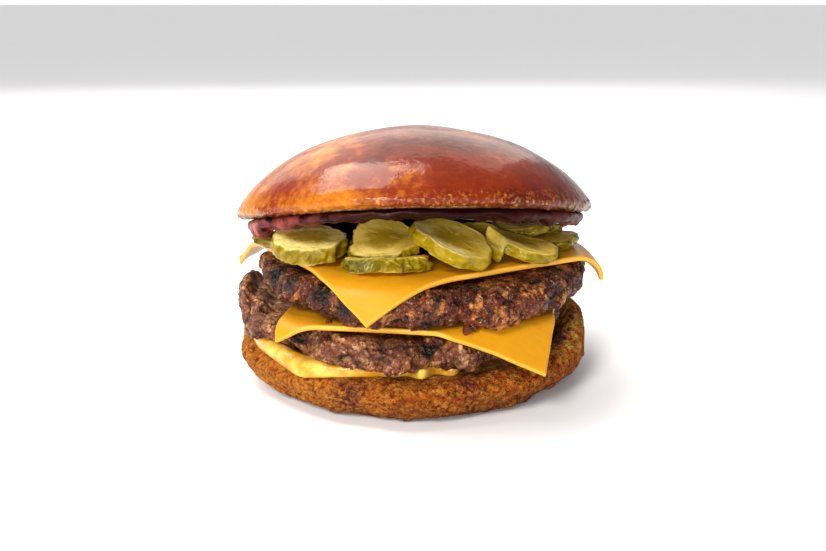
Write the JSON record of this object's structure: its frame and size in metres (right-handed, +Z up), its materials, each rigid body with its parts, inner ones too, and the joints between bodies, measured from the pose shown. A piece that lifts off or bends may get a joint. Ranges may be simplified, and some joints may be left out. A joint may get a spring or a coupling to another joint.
{
  "type": "cheeseburger",
  "caption": "Round bun with seared beef patties, folded cheese slices, sliced pickles and sauces, its lid propped up at the front.",
  "frame": {"origin": "middle of the bottom bun's flat foot, on the surface it rests on", "axes": "+Z up through the layers; -Y towards the side that is shown, where the lid is propped open; +X to that side's right"},
  "size_m": [0.1175, 0.1159, 0.0788],
  "materials": {
    "bun_crown": "gloss",
    "bun_base": "matte",
    "patty": "satin",
    "cheese": "satin",
    "pickle": "gloss",
    "yellow_sauce": "gloss",
    "red_sauce": "gloss"
  },
  "bodies": {
    "root": {"bottom_bun": "bun_base", "yellow_sauce": "yellow_sauce", "lower_patty": "patty", "lower_cheese": "cheese", "upper_patty": "patty", "upper_cheese": "cheese", "pickle_left_end": "pickle", "pickle_left": "pickle", "pickle_middle": "pickle", "pickle_middle_low": "pickle", "pickle_face": "pickle", "pickle_behind": "pickle", "pickle_right": "pickle", "pickle_right_end": "pickle", "pickle_right_top": "pickle", "red_sauce": "red_sauce", "top_bun": "bun_crown"}
  },
  "joints": []
}
